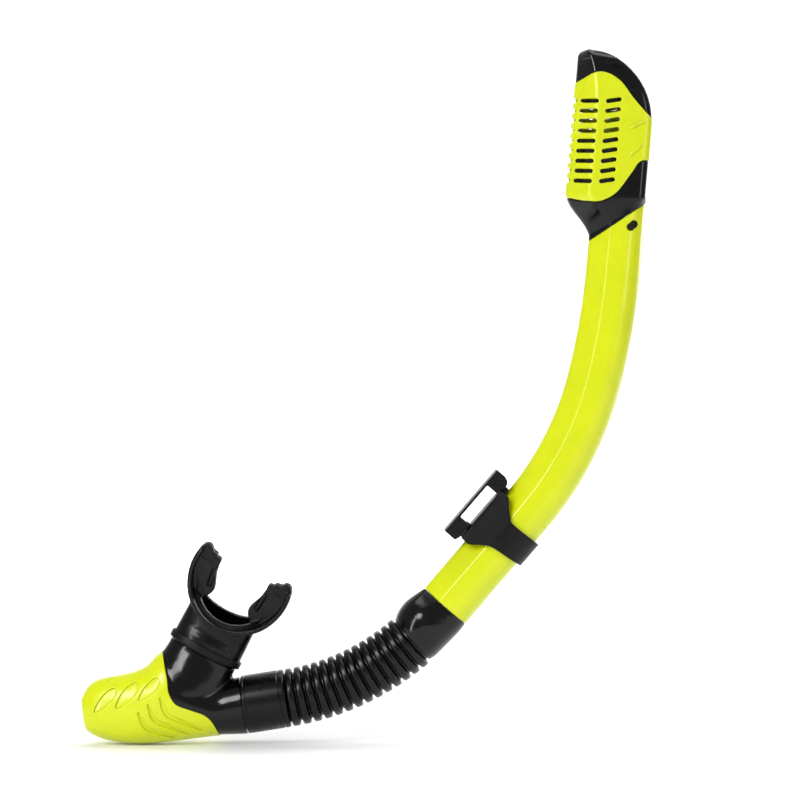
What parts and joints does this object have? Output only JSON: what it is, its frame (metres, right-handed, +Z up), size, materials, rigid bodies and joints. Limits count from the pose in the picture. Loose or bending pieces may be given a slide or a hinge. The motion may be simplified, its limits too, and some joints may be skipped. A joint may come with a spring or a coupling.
{
  "type": "dry snorkel",
  "caption": "J-shaped dry snorkel: curved breathing tube, float-valve top, mask-strap keeper, corrugated drop hose, purge chamber and bite mouthpiece.",
  "frame": {"origin": "centre of the keeper's strap seat, the flat outer face that the mask strap lies on", "axes": "+Z up along the snorkel as worn, towards the dry top; +X from the mouthpiece towards the barrel, in the plane of the J; +Y across that plane, so the mouthpiece leans a little to -Y"},
  "size_m": [0.3416, 0.0405, 0.416],
  "materials": {
    "yellow_plastic": "bright lemon yellow, glossy moulded plastic",
    "black_plastic": "glossy black moulded plastic",
    "satin_black_plastic": "satin black moulded plastic",
    "black_silicone": "soft black silicone with a light sheen",
    "float_plastic": "black plastic, a sealed hollow drum"
  },
  "bodies": {
    "keeper": {"keeper_clip": "satin_black_plastic", "gate_pin": "satin_black_plastic"},
    "gate": {"keeper_gate": "satin_black_plastic"},
    "barrel": {"barrel_tube": "yellow_plastic", "top_collar": "black_plastic", "top_oring": "black_silicone", "inlet_duct": "black_plastic", "vent_guard": "yellow_plastic", "top_cap": "black_plastic"},
    "float": {"float_shell": "float_plastic", "float_lid": "float_plastic", "float_seal": "black_silicone"},
    "latch_near": {"latch_tab_near": "satin_black_plastic"},
    "latch_far": {"latch_tab_far": "satin_black_plastic"},
    "coupling": {"hose_coupling": "black_plastic", "coupling_oring": "black_silicone", "corrugated_hose": "black_silicone"},
    "chamber": {"chamber_body": "black_plastic", "purge_cover": "yellow_plastic", "purge_seat": "satin_black_plastic", "mouthpiece": "black_silicone", "mouthpiece_tie": "satin_black_plastic"},
    "flap": {"purge_flap": "black_silicone"}
  },
  "joints": [
    {"name": "gate_swing", "type": "hinge", "parent": "keeper", "child": "gate", "pos_m": [0.01019, 0, 0.0163], "axis": [0, 1, 0], "range_deg": [0, 85]},
    {"name": "keeper_slide", "type": "slide", "parent": "keeper", "child": "barrel", "axis": [0.6521, 0, 0.7581], "range_m": [-0.006, 0.03]},
    {"name": "float_lift", "type": "slide", "parent": "barrel", "child": "float", "axis": [0.0872, 0, 0.9962], "range_m": [0, 0.0165]},
    {"name": "latch_press_near", "type": "slide", "parent": "barrel", "child": "latch_near", "axis": [0, 1, 0], "range_m": [0, 0.0012], "stiffness_N_per_m": 500},
    {"name": "latch_press_far", "type": "slide", "parent": "barrel", "child": "latch_far", "axis": [0, -1, 0], "range_m": [0, 0.0012], "stiffness_N_per_m": 500},
    {"name": "coupling_swivel", "type": "hinge", "parent": "barrel", "child": "coupling", "pos_m": [-0.02318, 0, -0.05762], "axis": [0.6521, 0, 0.7581], "continuous": true},
    {"name": "hose_bend", "type": "hinge", "parent": "coupling", "child": "chamber", "pos_m": [-0.07725, 0, -0.10087], "axis": [0, 1, 0], "range_deg": [-30, 15], "stiffness_Nm_per_rad": 0.5, "springref_deg": 6.88, "deforming": ["corrugated_hose"]},
    {"name": "purge_lift", "type": "slide", "parent": "chamber", "child": "flap", "axis": [-0.8222, 0, -0.5691], "range_m": [0, 0.0015], "stiffness_N_per_m": 50}
  ]
}
